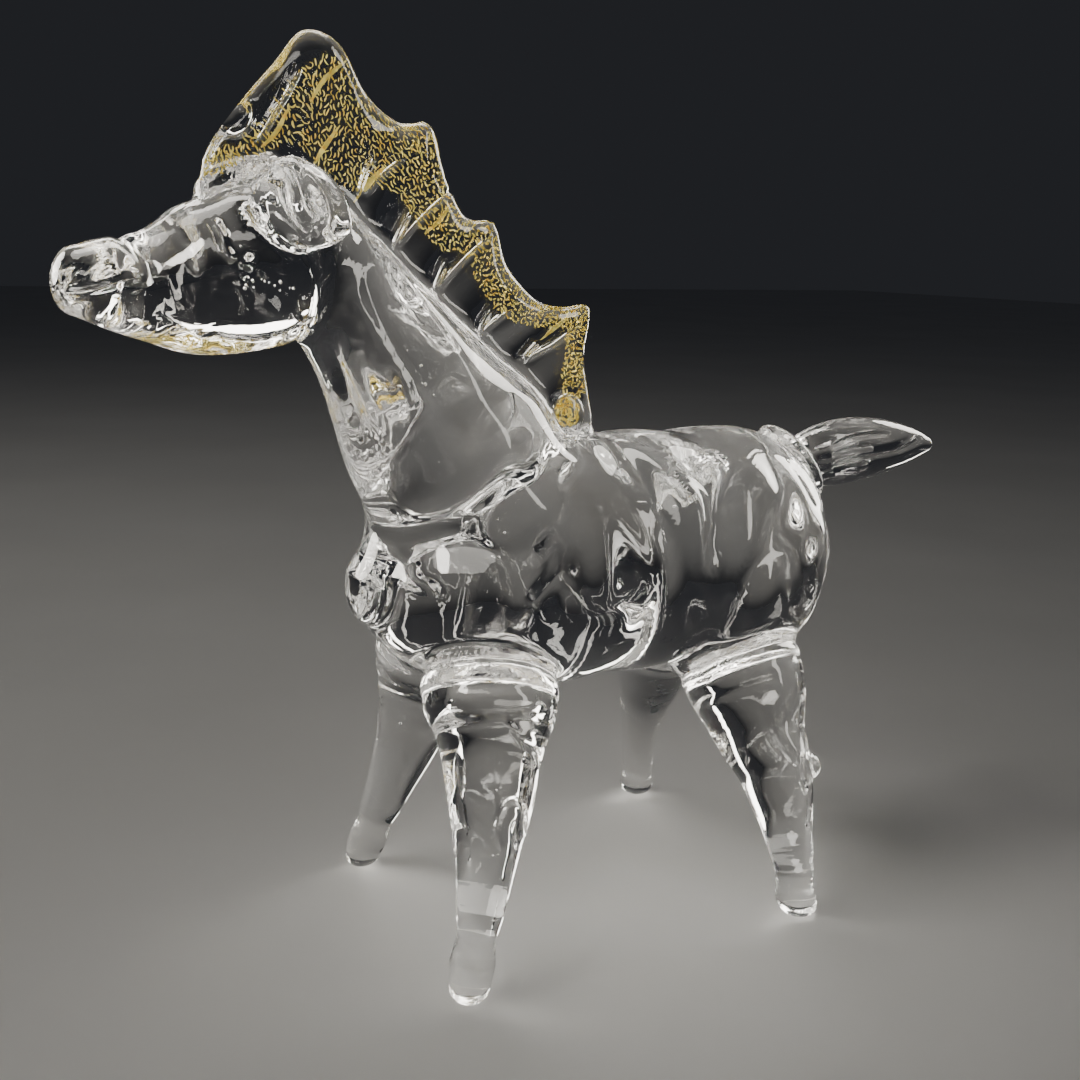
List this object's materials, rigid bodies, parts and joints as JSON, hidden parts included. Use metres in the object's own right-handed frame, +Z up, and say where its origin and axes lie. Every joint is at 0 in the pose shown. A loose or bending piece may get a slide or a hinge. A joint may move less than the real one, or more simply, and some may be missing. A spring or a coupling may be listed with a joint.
{
  "type": "glass horse figurine",
  "caption": "Solid clear hot-worked glass horse on splayed tapering legs, with a scalloped standing mane that holds gold leaf, curled ears and a fluted tail.",
  "frame": {"origin": "on the ground under the middle of the figure's bounding box, at the height of the soles", "axes": "+X from head to tail, +Y to the horse's right side, +Z up"},
  "size_m": [0.2471, 0.094, 0.2088],
  "materials": {
    "clear_glass": "fire-polished, clear and colourless, with faint striae and small seed bubbles",
    "gold_leaf": "bright gold leaf crackled into flakes under the glass"
  },
  "bodies": {
    "root": {"torso": "clear_glass", "neck": "clear_glass", "head": "clear_glass", "ear_left": "clear_glass", "ear_right": "clear_glass", "mane_left_casing": "clear_glass", "mane_right_casing": "clear_glass", "gold_leaf": "gold_leaf", "tail": "clear_glass", "leg_front_left": "clear_glass", "leg_front_right": "clear_glass", "leg_hind_left": "clear_glass", "leg_hind_right": "clear_glass"}
  },
  "joints": []
}
